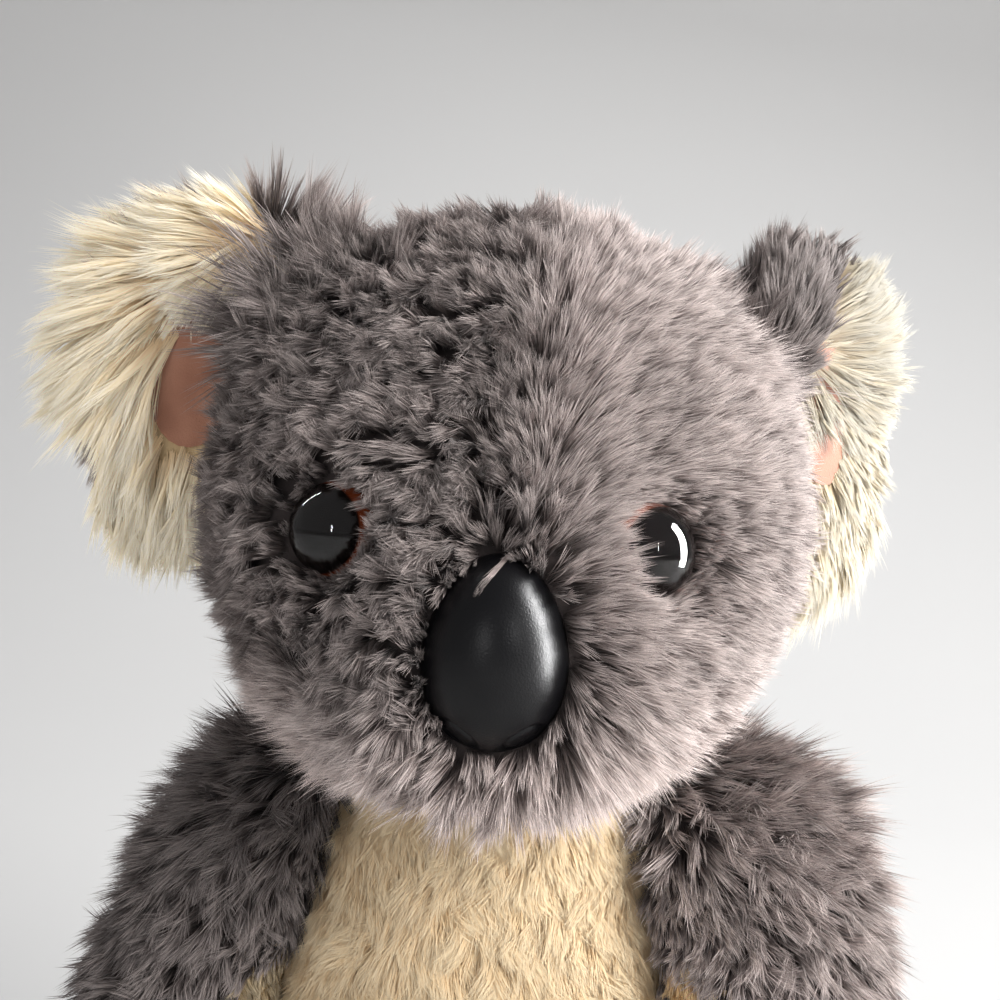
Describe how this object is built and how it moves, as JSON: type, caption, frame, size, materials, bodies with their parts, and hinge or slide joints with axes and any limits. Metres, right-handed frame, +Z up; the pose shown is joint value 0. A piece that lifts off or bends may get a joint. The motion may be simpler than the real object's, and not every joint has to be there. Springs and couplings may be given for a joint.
{
  "type": "plush koala",
  "caption": "Seated plush koala in grey and cream pile fabric, with domed eyes, a moulded nose and soft jointed head, ears, arms and legs.",
  "frame": {"origin": "middle of the flat base of the body, on the surface that the toy sits on", "axes": "+Z up, the toy faces -Y, and its own left is +X"},
  "size_m": [0.1889, 0.1327, 0.247],
  "materials": {
    "grey_plush": "matte",
    "cream_plush": "matte",
    "pink_suede": "matte",
    "eye_plastic": "gloss",
    "nose_plastic": "satin",
    "washer_plastic": "matte",
    "fibre_filling": "matte",
    "pellet_bag_cloth": "matte"
  },
  "bodies": {
    "torso": {"torso_skin": "grey_plush", "belly_panel": "cream_plush", "torso_stuffing": "fibre_filling", "pellet_bag": "pellet_bag_cloth"},
    "head": {"head_skin": "grey_plush", "head_stuffing": "fibre_filling", "eye_left": "eye_plastic", "eye_right": "eye_plastic", "eye_washer_left": "washer_plastic", "eye_washer_right": "washer_plastic", "nose": "nose_plastic", "nose_washer": "washer_plastic"},
    "arm_left_body": {"arm_skin_left": "grey_plush", "arm_stuffing_left": "fibre_filling", "palm_panel_left": "cream_plush"},
    "leg_left_body": {"leg_skin_left": "grey_plush", "leg_stuffing_left": "fibre_filling", "foot_panel_left": "cream_plush"},
    "ear_left_body": {"ear_back_left": "grey_plush", "ear_front_left": "cream_plush", "ear_lining_left": "pink_suede"},
    "arm_right_body": {"arm_skin_right": "grey_plush", "arm_stuffing_right": "fibre_filling", "palm_panel_right": "cream_plush"},
    "leg_right_body": {"leg_skin_right": "grey_plush", "leg_stuffing_right": "fibre_filling", "foot_panel_right": "cream_plush"},
    "ear_right_body": {"ear_back_right": "grey_plush", "ear_front_right": "cream_plush", "ear_lining_right": "pink_suede"}
  },
  "joints": [
    {"name": "head_turn", "type": "hinge", "parent": "torso", "child": "head", "pos_m": [0, 0, 0.14], "axis": [0, 0, 1], "range_deg": [-20, 20], "stiffness_Nm_per_rad": 0.12},
    {"name": "arm_left", "type": "hinge", "parent": "torso", "child": "arm_left_body", "pos_m": [0.033, -0.004, 0.118], "axis": [-0.9781, 0, -0.2079], "range_deg": [-40, 34]},
    {"name": "leg_left", "type": "hinge", "parent": "torso", "child": "leg_left_body", "pos_m": [0.042, -0.012, 0.019], "axis": [-0.9962, -0.0872, 0], "range_deg": [-25, 10]},
    {"name": "arm_right", "type": "hinge", "parent": "torso", "child": "arm_right_body", "pos_m": [-0.033, -0.004, 0.118], "axis": [-0.9781, 0, 0.2079], "range_deg": [-25, 50]},
    {"name": "leg_right", "type": "hinge", "parent": "torso", "child": "leg_right_body", "pos_m": [-0.042, -0.012, 0.019], "axis": [-0.9962, 0.0872, 0], "range_deg": [-25, 10]},
    {"name": "ear_left", "type": "hinge", "parent": "head", "child": "ear_left_body", "pos_m": [0.05507, 0.004, 0.208], "axis": [0.1798, 0.1619, -0.9703], "range_deg": [-12, 12], "stiffness_Nm_per_rad": 0.03},
    {"name": "ear_right", "type": "hinge", "parent": "head", "child": "ear_right_body", "pos_m": [-0.05506, 0.004, 0.208], "axis": [0.2406, -0.0253, 0.9703], "range_deg": [-12, 12], "stiffness_Nm_per_rad": 0.03}
  ]
}
